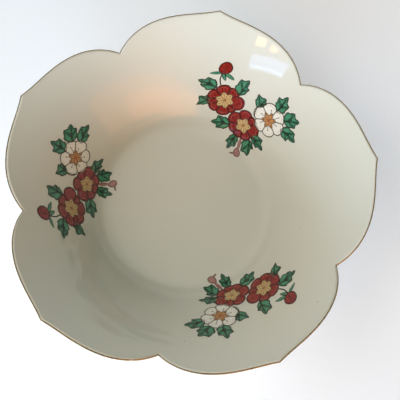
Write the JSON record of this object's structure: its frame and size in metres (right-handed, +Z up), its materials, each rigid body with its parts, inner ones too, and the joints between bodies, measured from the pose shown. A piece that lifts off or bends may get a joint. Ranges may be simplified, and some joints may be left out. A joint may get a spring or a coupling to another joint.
{
  "type": "serving bowl",
  "caption": "Open porcelain serving bowl with a flower-shaped rim, a flat round well, a foot ring, a gilt lip line and raised enamel flower sprays inside.",
  "frame": {"origin": "middle of the rim's outline in plan, level with the bottom of the foot ring; with an odd number of petals the bowl's own axis lies 4.2 mm from it towards -Y", "axes": "+Z up out of the bowl; +Y towards the point of one petal; -Y towards the side the picture was taken from; +X to the right for someone looking along +Y"},
  "size_m": [0.2238, 0.2228, 0.0716],
  "materials": {
    "porcelain": "clear glossy glaze over warm off-white porcelain",
    "foot_porcelain": "glazed sides, bare biscuit bearing line",
    "gilt": "fired gold line, slightly worn",
    "enamel_red": "iron-red overglaze enamel with dark outlines",
    "enamel_gold_tan": "matt gold-tan overglaze enamel",
    "enamel_white": "white overglaze enamel with brown outlines",
    "enamel_brown": "orange-brown overglaze enamel",
    "enamel_green": "translucent green overglaze enamel over dark veins",
    "enamel_pink": "thin pink-brown overglaze enamel"
  },
  "bodies": {
    "root": {"bowl_body": "porcelain", "foot_ring": "foot_porcelain", "gilt_rim_line": "gilt", "spray_1_large_bloom_stamens": "enamel_gold_tan", "spray_1_large_bloom": "enamel_red", "spray_1_small_bloom_stamens": "enamel_gold_tan", "spray_1_small_bloom": "enamel_red", "spray_1_white_bloom_heart": "enamel_brown", "spray_1_white_bloom": "enamel_white", "spray_1_red_bud": "enamel_red", "spray_1_bud_sepals": "enamel_green", "spray_1_leaf_far_left": "enamel_green", "spray_1_leaf_left": "enamel_green", "spray_1_leaf_top": "enamel_green", "spray_1_leaf_low_left": "enamel_green", "spray_1_leaf_between": "enamel_green", "spray_1_leaf_crown": "enamel_green", "spray_1_leaf_high_right": "enamel_green", "spray_1_leaf_right": "enamel_green", "spray_1_leaf_low_right": "enamel_green", "spray_1_leaf_root": "enamel_green", "spray_1_pink_bud": "enamel_pink", "spray_2_large_bloom_stamens": "enamel_gold_tan", "spray_2_large_bloom": "enamel_red", "spray_2_small_bloom_stamens": "enamel_gold_tan", "spray_2_small_bloom": "enamel_red", "spray_2_white_bloom_heart": "enamel_brown", "spray_2_white_bloom": "enamel_white", "spray_2_red_bud": "enamel_red", "spray_2_bud_sepals": "enamel_green", "spray_2_leaf_far_left": "enamel_green", "spray_2_leaf_left": "enamel_green", "spray_2_leaf_top": "enamel_green", "spray_2_leaf_low_left": "enamel_green", "spray_2_leaf_between": "enamel_green", "spray_2_leaf_crown": "enamel_green", "spray_2_leaf_high_right": "enamel_green", "spray_2_leaf_right": "enamel_green", "spray_2_leaf_low_right": "enamel_green", "spray_2_leaf_root": "enamel_green", "spray_2_pink_bud": "enamel_pink", "spray_3_large_bloom_stamens": "enamel_gold_tan", "spray_3_large_bloom": "enamel_red", "spray_3_small_bloom_stamens": "enamel_gold_tan", "spray_3_small_bloom": "enamel_red", "spray_3_white_bloom_heart": "enamel_brown", "spray_3_white_bloom": "enamel_white", "spray_3_red_bud": "enamel_red", "spray_3_bud_sepals": "enamel_green", "spray_3_leaf_far_left": "enamel_green", "spray_3_leaf_left": "enamel_green", "spray_3_leaf_top": "enamel_green", "spray_3_leaf_low_left": "enamel_green", "spray_3_leaf_between": "enamel_green", "spray_3_leaf_crown": "enamel_green", "spray_3_leaf_high_right": "enamel_green", "spray_3_leaf_right": "enamel_green", "spray_3_leaf_low_right": "enamel_green", "spray_3_leaf_root": "enamel_green", "spray_3_pink_bud": "enamel_pink"}
  },
  "joints": []
}
